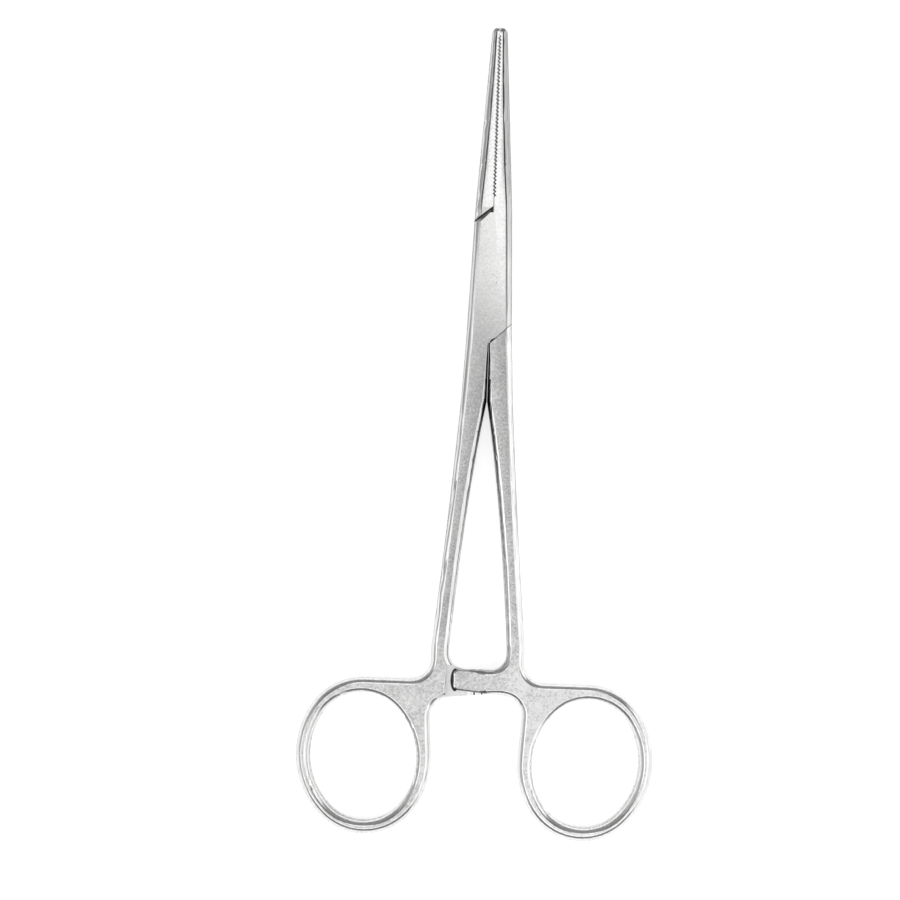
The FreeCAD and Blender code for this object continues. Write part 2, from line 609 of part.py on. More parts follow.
def cut_ratchet(body, side, before):
    """Thin the arm to its own layer and cut its teeth; side is 1 for the upper arm."""
    name = body.Name
    plan = new_sketch(body, name + "_step_plan", offset=f"({side}) * Sizes.ratchet_gap / 2")
    near = f"({side}) * Sizes.ratchet_step"
    far = f"({-side}) * (Sizes.arm_reach + 1)"
    low = "-Sizes.lower_arm_root - 2"
    draw_outline(plan, [(near, "-Sizes.ratchet_step_top"), (far, "-Sizes.ratchet_step_top"),
                        (far, low), (near, low)])
    step = pocket_away(body, name + "_ratchet_step", plan, "Sizes.handle_thick", side < 0)
    before = cut_volume(step, before)

    crest = f"({side}) * Sizes.ratchet_gap / 2"
    root = f"({side}) * (Sizes.ratchet_gap / 2 + Sizes.ratchet_depth)"
    clear = f"({-side}) * Sizes.ratchet_gap"
    holding = f"({-side}) * (Sizes.arm_reach - Sizes.ratchet_lead)"
    ramp = f"{holding} + ({side}) * Sizes.ratchet_pitch"
    profile = new_sketch(body, name + "_tooth_profile", "XZ_Plane",
                         "(Sizes.arm_top + Sizes.lower_arm_root) / 2")
    draw_outline(profile, [(holding, clear), (ramp, clear), (ramp, crest), (holding, root)])
    tooth = pocket_both_ways(body, name + "_tooth", profile, "2 * (Sizes.lower_arm_root - Sizes.arm_top)")
    doc.recompute()
    teeth = repeat(body, name + "_ratchet", tooth, "X_Axis", "Sizes.ratchet_teeth",
                   "(Sizes.ratchet_teeth - 1) * Sizes.ratchet_pitch", side < 0)
    return cut_volume(teeth, before)


def make_half(name, forging):
    """Start a half of the forceps from its forging, at its height above the table."""
    body = doc.addObject("PartDesign::Body", name)
    body.Label = name
    body.BaseFeature = forging
    body.setExpression("Placement.Base.z", BOX_HALF_THICK)
    doc.recompute()
    return body, forging.Shape.Volume


def make_through_half(forging):
    """The half with the tongue: handle on the right, jaw on the left."""
    body, volume = make_half("through_half", forging)
    right = HALF_GAP
    left = minus(HALF_GAP)
    round_x = f"{TONGUE_REACH} * cos(Sizes.opening_angle)"
    round_y = f"{TONGUE_REACH} * sin(Sizes.opening_angle)"

    beside_jaw = new_sketch(body, "tongue_right")
    draw_outline(beside_jaw, [
        (left, stop_line(left, TONGUE_REACH)),
        (round_x, round_y, minus(TONGUE_REACH)),
        (TONGUE_REACH, "0"),
        (FAR, "0"),
        (FAR, f"Sizes.teeth_start + {MOUTH}"),
        (CREST, f"Sizes.teeth_start + {MOUTH}"),
        (left, f"Sizes.teeth_start + {MOUTH} * (1 - ({CREST} + {HALF_GAP}) / Sizes.tooth_depth)"),
    ])
    trim = pocket_both_ways(body, "trim_right", beside_jaw, "2 * Sizes.box_thick")
    volume = cut_volume(trim, volume)

    beside_shank = new_sketch(body, "tongue_left")
    draw_outline(beside_shank, [
        (right, minus(stop_line(left, TONGUE_REACH))),
        (minus(round_x), minus(round_y), minus(TONGUE_REACH)),
        (minus(TONGUE_REACH), "0"),
        (minus(FAR), "0"),
        (minus(FAR), PAST_BACK),
        (right, PAST_BACK),
    ])
    trim = pocket_both_ways(body, "trim_left", beside_shank, "2 * Sizes.box_thick")
    volume = cut_volume(trim, volume)

    for way, upwards in (("1", True), ("-1", False)):
        word = "front" if upwards else "back"
        shoulders = new_sketch(body, f"shoulders_{word}", offset=f"{way} * Sizes.tongue_thick / 2")
        draw_outline(shoulders, [
            (minus(FAR), front_seam(minus(FAR), "Sizes.front_seam_gap")),
            (FAR, front_seam(FAR, "Sizes.front_seam_gap")),
            (FAR, back_seam(FAR, "Sizes.back_seam_gap")),
            (minus(FAR), back_seam(minus(FAR), "Sizes.back_seam_gap")),
        ])
        thin = pocket_away(body, f"thin_{word}", shoulders, "Sizes.box_thick", upwards)
        volume = cut_volume(thin, volume)

    volume = cut_pin_hole(body, "Sizes.pin_radius + Sizes.pin_play", volume)
    volume = cut_serrations(body, -1, 1.0, volume)
    cut_ratchet(body, 1, volume)
    return body


def make_box_half(forging):
    """The half with the slotted box: handle on the left, jaw on the right."""
    body, volume = make_half("box_half", forging)
    right = HALF_GAP
    left = minus(HALF_GAP)

    for_jaw = new_sketch(body, "room_for_jaw")
    draw_outline(for_jaw, [
        (right, front_seam(right)),
        (right, "Sizes.teeth_start + Sizes.tooth_pitch / 2"),
        (minus(FAR), "Sizes.teeth_start + Sizes.tooth_pitch / 2"),
        (minus(FAR), front_seam(minus(FAR))),
    ])
    cut = pocket_both_ways(body, "cut_for_jaw", for_jaw, "2 * Sizes.box_thick")
    volume = cut_volume(cut, volume)

    for_shank = new_sketch(body, "room_for_shank")
    draw_outline(for_shank, [
        (left, back_seam(left)),
        (FAR, back_seam(FAR)),
        (FAR, PAST_BACK),
        (left, PAST_BACK),
    ])
    cut = pocket_both_ways(body, "cut_for_shank", for_shank, "2 * Sizes.box_thick")
    volume = cut_volume(cut, volume)

    slot_plan = new_sketch(body, "slot_plan")
    draw_outline(slot_plan, [
        (right, "Sizes.teeth_start"),
        (right, stop_line(right, STOP_REACH)),
        (FAR, stop_line(FAR, STOP_REACH)),
        (FAR, PAST_BACK),
        (left, PAST_BACK),
        (left, minus(stop_line(right, STOP_REACH))),
        (minus(FAR), minus(stop_line(FAR, STOP_REACH))),
        (minus(FAR), "Sizes.teeth_start"),
    ])
    slot = pocket_both_ways(body, "slot", slot_plan, "Sizes.tongue_thick + 2 * Sizes.slot_play")
    volume = cut_volume(slot, volume)

    notch = new_sketch(body, "seam_notch_plan")
    inner = minus("Sizes.seam_notch_width")
    bottom = "Sizes.box_front - Sizes.seam_notch_length"
    draw_outline(notch, [(right, front_seam(right)), (inner, front_seam(inner)), (inner, bottom), (right, bottom)])
    cut = pocket_both_ways(body, "seam_notch", notch, "2 * Sizes.box_thick")
    volume = cut_volume(cut, volume)

    relief = new_sketch(body, "seam_relief_plan")
    near, deep, end = "Sizes.split_gap", "Sizes.seam_relief * 1.6", "Sizes.seam_relief_end"
    draw_outline(relief, [
        (near, back_seam(near, "Sizes.back_seam_gap / 2")),
        (end, back_seam(end, "Sizes.back_seam_gap / 2")),
        (deep, back_seam(deep, "-Sizes.seam_relief")),
        (near, back_seam(near, "-Sizes.seam_relief / 2")),
    ])
    cut = pocket_both_ways(body, "seam_relief", relief, "2 * Sizes.box_thick")
    volume = cut_volume(cut, volume)

    sections = []
    for name, x, width in (("flank", "-Sizes.box_front_half - 1", "Sizes.wall_end_bevel"),
                           ("middle", inner, "Sizes.wall_end_narrow")):
        drop = f"{width} * tan(Sizes.wall_end_slope)"
        section = new_sketch(body, f"wall_end_{name}", "YZ_Plane", x)
        draw_outline(section, [
            (f"{front_seam(x)} - 1.2 * {width}", f"{BOX_HALF_THICK} + 0.2 * {drop}"),
            (f"{front_seam(x)} + 0.2 * {width}", f"{BOX_HALF_THICK} - 1.2 * {drop}"),
            (f"{front_seam(x)} + 0.2 * {width}", f"{BOX_HALF_THICK} + 0.2 * {drop}"),
        ])
        sections.append(section)
    bevel = body.newObject("PartDesign::SubtractiveLoft", "wall_end_upper")
    bevel.Profile = sections[0]
    bevel.Sections = sections[1:]
    bevel.Ruled = True
    volume = cut_volume(bevel, volume)
    both = body.newObject("PartDesign::Mirrored", "wall_ends")
    both.Originals = [bevel]
    both.MirrorPlane = (origin_feature(body, "XY_Plane"), [""])
    body.Tip = both
    volume = cut_volume(both, volume)

    volume = cut_pin_hole(body, "Sizes.pin_radius", volume)
    volume = cut_serrations(body, 1, 0.5, volume)
    cut_ratchet(body, -1, volume)
    return body


def make_pin():
    """The rivet of the box lock, flush with both faces of the box."""
    body = doc.addObject("PartDesign::Body", "lock_pin")
    body.Label = "lock_pin"
    sketch = new_sketch(body, "pin_circle")
    draw_circle(sketch, "Sizes.pin_radius")
    shaft = pad_both_ways(body, "shaft", sketch, "Sizes.box_thick")
    doc.recompute()
    ends = edges_where(shaft.Shape, lambda edge: len(edge.Vertexes) == 1)
    bevel = body.newObject("PartDesign::Chamfer", "pin_bevel")
    bevel.Base = (shaft, [f"Edge{number}" for number in ends])
    bevel.setExpression("Size", "Sizes.pin_edge")
    body.setExpression("Placement.Base.z", BOX_HALF_THICK)
    doc.recompute()
    return body


def forge(name, bar, root):
    """One whole forging: the bar and its handle in one piece."""
    forging = doc.addObject("Part::MultiFuse", name)
    forging.Shapes = [bar, forge_handle(name + "Handle", root)]
    forging.Refine = True
    doc.recompute()
    return forging


bar = forge_bar()
upper_forging = forge("UpperForging", bar, "Sizes.upper_arm_root")
lower_forging = forge("LowerForging", bar, "Sizes.lower_arm_root")
mirrored = doc.addObject("Part::Mirroring", "MirroredForging")
mirrored.Source = lower_forging
mirrored.Normal = FreeCAD.Vector(1, 0, 0)
doc.recompute()

parts = [make_box_half(mirrored), make_through_half(upper_forging), make_pin()]
doc.recompute()

for item in doc.Objects:
    if "Invalid" in item.State or "Error" in item.State:
        raise RuntimeError(f"{item.Label} failed: {item.State}")
for part in parts:
    if part.Shape.isNull() or not part.Shape.isValid() or len(part.Shape.Solids) != 1:
        raise RuntimeError(f"{part.Label} is not one valid solid")

os.makedirs("parts", exist_ok=True)
for part in parts:
    part.Shape.exportStep(f"parts/{part.Label}.step")
    box = part.Shape.BoundBox
    print(part.Label, "volume", round(part.Shape.Volume, 1),
          "from", [round(value, 2) for value in (box.XMin, box.YMin, box.ZMin)],
          "to", [round(value, 2) for value in (box.XMax, box.YMax, box.ZMax)])
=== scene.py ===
# %% [markdown]
# # Straight hemostat forceps
#
# The real object is a pair of stainless steel forceps: two forged halves that cross in a
# box lock, with cross serrations in the jaws, a toothed ratchet between the shanks and a
# finger ring on each half. The imported model already has all but the smallest forms of the
# object, so this lesson is mostly about finish: how a loose CAD mesh becomes a clean metal
# surface, and how buffed, milled and bead-blasted steel are told apart. Reflection, light
# and shade are also painted into the steel's colour in many places.

# %% Load the imported model
import math

import bpy
import bmesh
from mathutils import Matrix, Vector


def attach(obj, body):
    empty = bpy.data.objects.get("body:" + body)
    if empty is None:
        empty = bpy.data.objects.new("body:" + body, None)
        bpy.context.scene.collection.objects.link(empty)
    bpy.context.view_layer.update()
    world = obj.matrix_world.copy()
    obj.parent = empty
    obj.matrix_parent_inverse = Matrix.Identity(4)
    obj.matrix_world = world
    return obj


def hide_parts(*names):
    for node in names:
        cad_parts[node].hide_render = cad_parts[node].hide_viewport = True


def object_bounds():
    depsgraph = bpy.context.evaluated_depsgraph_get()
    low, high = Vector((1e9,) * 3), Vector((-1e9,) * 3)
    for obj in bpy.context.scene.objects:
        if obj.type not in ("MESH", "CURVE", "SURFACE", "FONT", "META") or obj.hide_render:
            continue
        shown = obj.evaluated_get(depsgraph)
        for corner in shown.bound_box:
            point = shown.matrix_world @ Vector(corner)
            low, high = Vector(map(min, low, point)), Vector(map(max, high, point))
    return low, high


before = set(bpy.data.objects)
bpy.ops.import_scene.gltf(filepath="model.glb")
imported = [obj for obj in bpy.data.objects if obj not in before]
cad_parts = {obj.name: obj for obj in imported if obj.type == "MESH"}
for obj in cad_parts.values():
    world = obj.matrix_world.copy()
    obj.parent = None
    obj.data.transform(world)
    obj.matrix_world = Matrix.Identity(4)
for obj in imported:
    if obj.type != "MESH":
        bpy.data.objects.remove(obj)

CAD_LOW, CAD_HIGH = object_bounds()
MM = 0.001
print("CAD box from", tuple(CAD_LOW), "to", tuple(CAD_HIGH))

# %% [markdown]
# ## The camera
#
# The forceps lie on a white table and are seen from straight above. The picture is about
# 178 mm across, its centre lies a little to the left of the meeting line and 34 mm behind
# the pin, and the instrument leans 2 degrees to the right. A long lens from well above
# keeps the two rings equal in size, and turning the camera about its own axis makes the
# lean, so the object itself stays in its frame.

# %% Camera
PICTURE_WIDTH = 177.84 * MM
PICTURE_CENTRE = Vector((-6.94 * MM, -33.8 * MM, 3.0 * MM))
LEAN = math.radians(2.05)
CAMERA_HEIGHT = 0.6
SENSOR_WIDTH = 36.0

camera_data = bpy.data.cameras.new("camera")
camera_data.sensor_width = SENSOR_WIDTH
camera_data.lens = SENSOR_WIDTH * CAMERA_HEIGHT / PICTURE_WIDTH
camera_data.clip_start = 0.01
camera_data.clip_end = 10.0
camera = bpy.data.objects.new("camera", camera_data)
bpy.context.scene.collection.objects.link(camera)
camera.location = PICTURE_CENTRE + Vector((0, 0, CAMERA_HEIGHT))
camera.rotation_euler = (0, 0, LEAN)
bpy.context.scene.camera = camera
print("lens", round(camera_data.lens, 1), "mm")

# %% [markdown]
# ## The slot in front of the ratchet's nose
#
# In front of the upper arm's nose the lower arm has a slot, the first valley of its teeth,
# which looks black in the picture. It is cut out with an oval cutter, whose side follows
# the round nose. This is done while the mesh is still all triangles, because large faces
# with many corners can break in a boolean.

# %% Select and edit one piece
def deselect_all():
    for item in bpy.context.selected_objects:
        item.select_set(False)


def start_edit(piece):
    deselect_all()
    bpy.context.view_layer.objects.active = piece
    piece.select_set(True)
    bpy.ops.object.mode_set(mode="EDIT")
    bpy.ops.mesh.select_mode(type="EDGE")


# %% Carve an oval slot
SLOT_CENTRE = (-4.3, -79.2, 1.875)
SLOT_SIZE = (1.85, 4.5, 1.45)


def carve(skin, centre, size):
    """Cut an upright oval cylinder, measured in millimetres, out of a skin."""
    deselect_all()
    bpy.ops.mesh.primitive_cylinder_add(vertices=48, radius=0.5, depth=1.0,
                                        location=[value * MM for value in centre])
    cutter = bpy.context.object
    cutter.scale = [value * MM for value in size]
    bpy.context.view_layer.update()
    deselect_all()
    bpy.context.view_layer.objects.active = skin
    skin.select_set(True)
    cut = skin.modifiers.new("cut", "BOOLEAN")
    cut.operation = "DIFFERENCE"
    cut.object = cutter
    bpy.ops.object.modifier_apply(modifier=cut.name)
    bpy.data.objects.remove(cutter)
    print(skin.name, "carved,", len(skin.data.polygons), "faces")


# %% [markdown]
# ## Clean skins over the CAD pieces
#
# The model arrives as loose triangles, each with its own three corners. Shaded flat, every
# rounded bevel would show its facets, and shaded smooth, the flats would look dented. So
# each piece is copied, its doubled corners are merged, and triangles that lie in one plane
# are dissolved into one face. The upper and lower face of each jaw become one face each,
# whatever the limit leaves, because the row of teeth along their edge is bevelled next.

# %% Copy a CAD node and merge it
MERGE_WITHIN = 0.002 * MM
SLIVER = 0.001 * MM
ONE_PLANE = math.radians(0.4)
JAW_START = 14.2 * MM


def copy_of(node):
    """Copy a CAD node's mesh and make one closed surface of it."""
    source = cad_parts[node]
    skin = bpy.data.objects.new("skin_" + node, source.data.copy())
    bpy.context.scene.collection.objects.link(skin)
    start_edit(skin)
    bpy.ops.mesh.select_all(action="SELECT")
    bpy.ops.mesh.remove_doubles(threshold=MERGE_WITHIN)
    if node == "box_half":
        bpy.ops.object.mode_set(mode="OBJECT")
        carve(skin, SLOT_CENTRE, SLOT_SIZE)
        start_edit(skin)
        bpy.ops.mesh.select_all(action="SELECT")
    bpy.ops.mesh.dissolve_degenerate(threshold=SLIVER)
    bpy.ops.mesh.dissolve_limited(angle_limit=ONE_PLANE)
    for upward in (1, -1):
        bpy.ops.mesh.select_mode(type="FACE")
        bpy.ops.mesh.select_all(action="DESELECT")
        mesh = bmesh.from_edit_mesh(skin.data)
        for face in mesh.faces:
            jaw = all(corner.co.y > JAW_START for corner in face.verts)
            face.select = jaw and face.normal.z * upward > 0.99
        bmesh.update_edit_mesh(skin.data)
        if any(face.select for face in mesh.faces):
            bpy.ops.mesh.dissolve_faces()
    bpy.ops.object.mode_set(mode="OBJECT")
    print(skin.name, len(source.data.polygons), "triangles became",
          len(skin.data.polygons), "faces")
    return skin


skins = {node: copy_of(node) for node in ("box_half", "through_half", "lock_pin")}

# %% [markdown]
# ## The small forms that finishing adds
#
# Some forms are made at the bench after milling. The maker breaks the edges of the
# serrations; of the two broken edges at each groove one is painted dark as shade and one
# painted light as a highlight, which draws the row of ticks between the jaws. The edge of
# the ratchet's step is rounded a little and painted light as a highlight. And the pin is
# ground flush until only a ghost of its outline is left.

# %% Break edges with a small bevel
UPRIGHT = 0.3
NEARLY_LEVEL = 0.95


def relieve(skin, width, segments, wanted):
    """Bevel edges between a level and an upright face, which a test picks."""
    start_edit(skin)
    bpy.ops.mesh.select_all(action="DESELECT")
    mesh = bmesh.from_edit_mesh(skin.data)
    picked = 0
    for edge in mesh.edges:
        if len(edge.link_faces) == 2:
            middle = (edge.verts[0].co + edge.verts[1].co) / 2 / MM
            slopes = sorted(abs(face.normal.z) for face in edge.link_faces)
            if slopes[0] < UPRIGHT and slopes[1] > NEARLY_LEVEL and wanted(middle):
                edge.select = True
                picked += 1
    bmesh.update_edit_mesh(skin.data)
    bpy.ops.mesh.bevel(offset=width, segments=segments, affect="EDGES")
    bpy.ops.object.mode_set(mode="OBJECT")
    print(skin.name, picked, "edges broken by", round(width / MM, 2), "mm")


# %% The serrations and the ratchet's step
SERRATION_BREAK = 0.07 * MM
STEP_BREAK = 0.4 * MM
STEP_PLACE = -6.2


def serration(at):
    return abs(at.x) < 0.48 and 15.5 < at.y < 48.3


def ratchet_step(at):
    return abs(at.x - STEP_PLACE) < 0.02 and at.z > 4.1 and at.y < -76


for node in ("box_half", "through_half"):
    relieve(skins[node], SERRATION_BREAK, 1, serration)
relieve(skins["box_half"], STEP_BREAK, 2, ratchet_step)

# %% Grind the pin flush
PIN_GHOST = 0.015 * MM
pin = skins["lock_pin"].data
heights = sorted({round(vertex.co.z / MM, 3) for vertex in pin.vertices})
print("levels of the pin's corners, mm:", heights)
for vertex in pin.vertices:
    if heights[-2] - 0.001 < vertex.co.z / MM < heights[-1] - 0.001:
        vertex.co.z = heights[-1] * MM - PIN_GHOST

# %% [markdown]
# ## Crisp edges and soft bevels
#
# A grinder leaves a flat, then a bevel that rolls off it without a step. Edges that turn by
# more than a set angle are marked sharp, such as those of the teeth, the seams and the
# ratchet. The border of the bevel inside the left shank, which was ground last, is marked
# too. The rest is shaded smooth, and a Weighted Normal modifier lets the largest face at
# each corner set the normal. The flats then stay flat, and each bevel takes its turn
# within its own width.

# %% Shade a skin
CRISP_ABOVE = math.radians(50)
CRISP_AT_SEAM = math.radians(20)
CRISP_AT_FLAT = math.radians(9)
LEVEL = 0.996
SEAM_FRONT = 14.3 * MM
SEAM_SLOPE = math.tan(math.radians(39))


def beside_front_seam(point):
    """True on the small bevel and the notch at the end of the box walls."""
    seam = SEAM_FRONT + point.x * SEAM_SLOPE
    return point.x < 0.1 * MM and seam - 1.9 * MM < point.y < seam + 0.1 * MM


def shade(skin):
    """Mark the crisp edges, smooth the rest and weigh the normals by area."""
    start_edit(skin)
    bpy.ops.mesh.select_all(action="DESELECT")
    mesh = bmesh.from_edit_mesh(skin.data)
    crisp = 0
    for edge in mesh.edges:
        middle = (edge.verts[0].co + edge.verts[1].co) / 2
        limit = CRISP_AT_SEAM if beside_front_seam(middle) else CRISP_ABOVE
        ground_last = -83 < middle.y / MM < -14 and middle.x < 0
        if ground_last and any(face.normal.x > 0.3 for face in edge.link_faces):
            if any(abs(face.normal.z) > LEVEL for face in edge.link_faces):
                limit = CRISP_AT_FLAT
        open_edge = len(edge.link_faces) != 2
        if open_edge or edge.calc_face_angle(0.0) > limit:
            edge.select = True
            crisp += 1
    bmesh.update_edit_mesh(skin.data)
    bpy.ops.mesh.mark_sharp()
    bpy.ops.mesh.select_all(action="SELECT")
    bpy.ops.mesh.faces_shade_smooth()
    bpy.ops.object.mode_set(mode="OBJECT")
    weigh = skin.modifiers.new("weighted_normals", "WEIGHTED_NORMAL")
    weigh.mode = "FACE_AREA"
    weigh.weight = 90
    weigh.keep_sharp = True
    bpy.ops.object.modifier_apply(modifier=weigh.name)
    print(skin.name, crisp, "crisp edges")


BODIES = {"box_half": "box_body", "through_half": "through_body", "lock_pin": "box_body"}
for node, body in BODIES.items():
    skin = skins[node]
    shade(skin)
    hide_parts(node)
    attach(skin, body)

# %% [markdown]
# ## Several finishes on one forging
#
# The maker grinds the bevels and buffs them, blasts the upper and lower faces of the
# shanks and handles with fine glass beads, and buffs the faces of the box and the jaws
# again. So each half carries several finishes of one steel: buffed bevels, faces whose
# grain fades in from the box to the handle, and walls painted dark as shade. The grey
# levels of the faces and bevels are painted reflection.
#
# Blasted steel has no direction in its grain. Its bump is finer than a quarter of a
# millimetre, and its roughness wanders a little where the blasting was uneven. Both
# follow Object coordinates, so the grain stays on the steel when the forceps open.

# %% Node helpers
def node_maker(material):
    """Return two short helpers that add a node and join two sockets."""
    nodes, links = material.node_tree.nodes, material.node_tree.links

    def add(kind, **settings):
        node = nodes.new(kind)
        for name, value in settings.items():
            setattr(node, name, value)
        return node

    return nodes, links.new, add


def grain(add, join, place, scale, detail):
    noise = add("ShaderNodeTexNoise")
    noise.inputs["Scale"].default_value = scale
    noise.inputs["Detail"].default_value = detail
    join(place.outputs["Object"], noise.inputs["Vector"])
    return noise


def spread(add, join, value, low, high, start, end):
    """Map a value from low..high to start..end."""
    ramp = add("ShaderNodeMapRange")
    ramp.inputs["From Min"].default_value = low
    ramp.inputs["From Max"].default_value = high
    ramp.inputs["To Min"].default_value = start
    ramp.inputs["To Max"].default_value = end
    join(value, ramp.inputs["Value"])
    return ramp.outputs["Result"]


def from_noise(add, join, noise, start, end):
    """Map the range in which most of a noise lies to start..end."""
    return spread(add, join, noise.outputs["Fac"], 0.3, 0.7, start, end)


def combine(add, join, operation, first, second):
    node = add("ShaderNodeMath", operation=operation)
    join(first, node.inputs[0])
    join(second, node.inputs[1])
    return node.outputs["Value"]


def mix_values(add, join, factor, first, second):
    mix = add("ShaderNodeMix")
    join(factor, mix.inputs["Factor"])
    join(first, mix.inputs["A"])
    join(second, mix.inputs["B"])
    return mix.outputs["Result"]


# %% Blasted and buffed faces, with painted reflection
RAMP_START = -120.0
RAMP_LENGTH = 180.0


def tone_along(add, join, along, stops):
    """Grey levels by place along the instrument, in millimetres from the pin."""
    ramp_end = RAMP_START + RAMP_LENGTH
    place = spread(add, join, along, RAMP_START * MM, ramp_end * MM, 0.0, 1.0)
    ramp = add("ShaderNodeValToRGB")
    join(place, ramp.inputs["Fac"])
    marks = ramp.color_ramp.elements
    while len(marks) < len(stops):
        marks.new(0.5)
    for mark, (y, level) in zip(marks, stops):
        mark.position = (y - RAMP_START) / RAMP_LENGTH
        mark.color = (level, level, level * 0.995, 1)
    return ramp.outputs["Color"]


def face_steel(name, blasted_from, blasted_to, side, handle_sheen_tones, stops):
    """Buffed steel in front of the lock that turns into blasted steel behind it, with painted
    reflection in its grey levels.
    """
    material = bpy.data.materials.new(name)
    material.use_nodes = True
    nodes, join, add = node_maker(material)
    shader = nodes["Principled BSDF"]
    shader.inputs["Metallic"].default_value = 1.0
    place = add("ShaderNodeTexCoord")
    split = add("ShaderNodeSeparateXYZ")
    join(place.outputs["Object"], split.inputs["Vector"])
    along = split.outputs["Y"]
    blasted = spread(add, join, along, blasted_from, blasted_to, 0.0, 1.0)

    fine = grain(add, join, place, 2300.0, 2.0)
    cloud = grain(add, join, place, 260.0, 2.0)
    buffed_rough = from_noise(add, join, cloud, 0.13, 0.18)
    blasted_rough = from_noise(add, join, cloud, 0.24, 0.32)
    join(mix_values(add, join, blasted, buffed_rough, blasted_rough), shader.inputs["Roughness"])
    speck = mix_values(add, join, blasted, from_noise(add, join, fine, 0.92, 1.07),
                       from_noise(add, join, fine, 0.76, 1.22))

    # Painted reflection: the box is painted lighter to the right, and the shanks darker to the
    # right.
    centre = spread(add, join, along, -0.018, -0.070, side * 0.0024, side * 0.0073)
    offset = combine(add, join, "SUBTRACT", split.outputs["X"], centre)
    shank_sheen = spread(add, join, offset, -0.0016, 0.0016, 1.22, 0.82)
    handle_sheen = spread(add, join, split.outputs["X"], 0.003, 0.009, *handle_sheen_tones)
    behind = spread(add, join, along, -0.066, -0.076, 0.0, 1.0)
    shank_sheen = mix_values(add, join, behind, shank_sheen, handle_sheen)
    box_sheen = spread(add, join, split.outputs["X"], -0.0026, 0.0026, 0.92, 1.08)
    across = mix_values(add, join, blasted, box_sheen, shank_sheen)

    tone = add("ShaderNodeMix", data_type="RGBA", blend_type="MULTIPLY")
    tone.inputs["Factor"].default_value = 1.0
    join(tone_along(add, join, along, stops), tone.inputs["A"])
    join(combine(add, join, "MULTIPLY", speck, across), tone.inputs["B"])
    join(tone.outputs["Result"], shader.inputs["Base Color"])

    bump = add("ShaderNodeBump")
    bump.inputs["Distance"].default_value = 0.012 * MM
    join(spread(add, join, blasted, 0.0, 1.0, 0.08, 0.6), bump.inputs["Strength"])
    join(fine.outputs["Fac"], bump.inputs["Height"])
    join(bump.outputs["Normal"], shader.inputs["Normal"])
    return material


# %% Buffed bevels and walls painted dark as shade
def streaked_steel(name, stops, stretch_along, scale, contrast, rough):
    """Steel with streaks along the instrument, or stains where nothing is stretched."""
    material = bpy.data.materials.new(name)
    material.use_nodes = True
    nodes, join, add = node_maker(material)
    shader = nodes["Principled BSDF"]
    shader.inputs["Metallic"].default_value = 1.0
    place = add("ShaderNodeTexCoord")
    split = add("ShaderNodeSeparateXYZ")
    join(place.outputs["Object"], split.inputs["Vector"])
    stretch = add("ShaderNodeMapping")
    stretch.inputs["Scale"].default_value = (1.0, stretch_along, 1.0)
    join(place.outputs["Object"], stretch.inputs["Vector"])
    streak = add("ShaderNodeTexNoise")
    streak.inputs["Scale"].default_value = scale
    streak.inputs["Detail"].default_value = 2.0
    join(stretch.outputs["Vector"], streak.inputs["Vector"])
    cloud = grain(add, join, place, 160.0, 2.0)
    join(from_noise(add, join, cloud, *rough), shader.inputs["Roughness"])
    tone = add("ShaderNodeMix", data_type="RGBA", blend_type="MULTIPLY")
    tone.inputs["Factor"].default_value = 1.0
    join(tone_along(add, join, split.outputs["Y"], stops), tone.inputs["A"])
    join(from_noise(add, join, streak, 1 - contrast, 1 + contrast), tone.inputs["B"])
    join(tone.outputs["Result"], shader.inputs["Base Color"])
    bump = add("ShaderNodeBump")
    bump.inputs["Strength"].default_value = 0.15
    bump.inputs["Distance"].default_value = 0.01 * MM
    join(streak.outputs["Fac"], bump.inputs["Height"])
    join(bump.outputs["Normal"], shader.inputs["Normal"])
    return material


# %% The tongue
# Widths of the painted shade along the foot of the tongue's shoulders.
CORNER_SHADE = 0.5 * MM
SHADE_FADE = 0.1 * MM
NOTCH_SHADE = 1.1 * MM
SEAM_BACK = -12.5 * MM
SEAM_BACK_SLOPE = math.tan(math.radians(43))


def past_seam(add, join, place, start, slope):
    """How far a point lies in front of a slanted seam, along the instrument."""
    seam = add("ShaderNodeMath", operation="MULTIPLY_ADD")
    join(place.outputs["X"], seam.inputs[0])
    seam.inputs[1].default_value = slope
    seam.inputs[2].default_value = start
    return combine(add, join, "SUBTRACT", place.outputs["Y"], seam.outputs["Value"])


def shaded_rubbed_tongue():
    """Steel that the box walls rub, with painted shade along the foot of both shoulders."""
    material = streaked_steel("shaded_rubbed_tongue", ((-120, 0.6), (60, 0.6)), 1.0, 1400.0, 0.1,
                              (0.3, 0.4))
    nodes, join, add = node_maker(material)
    place = add("ShaderNodeTexCoord")
    split = add("ShaderNodeSeparateXYZ")
    join(place.outputs["Object"], split.inputs["Vector"])

    # Painted shade: near black along the foot of both shoulders, reaching further at the notch.
    notch = spread(add, join, split.outputs["X"], -0.9 * MM, -0.7 * MM, 0.0, NOTCH_SHADE)
    ahead = combine(add, join, "ADD", past_seam(add, join, split, SEAM_FRONT, SEAM_SLOPE), notch)
    front = spread(add, join, ahead, -CORNER_SHADE - SHADE_FADE, -CORNER_SHADE, 0.0, 1.0)
    behind = past_seam(add, join, split, SEAM_BACK, SEAM_BACK_SLOPE)
    back = spread(add, join, behind, CORNER_SHADE, CORNER_SHADE + SHADE_FADE, 1.0, 0.0)

    shader = nodes["Principled BSDF"]
    steel = shader.inputs["Base Color"].links[0].from_socket
    tone = add("ShaderNodeMix", data_type="RGBA")
    join(combine(add, join, "MAXIMUM", front, back), tone.inputs["Factor"])
    join(steel, tone.inputs["A"])
    tone.inputs["B"].default_value = (0.06, 0.06, 0.06, 1)
    join(tone.outputs["Result"], shader.inputs["Base Color"])
    return material
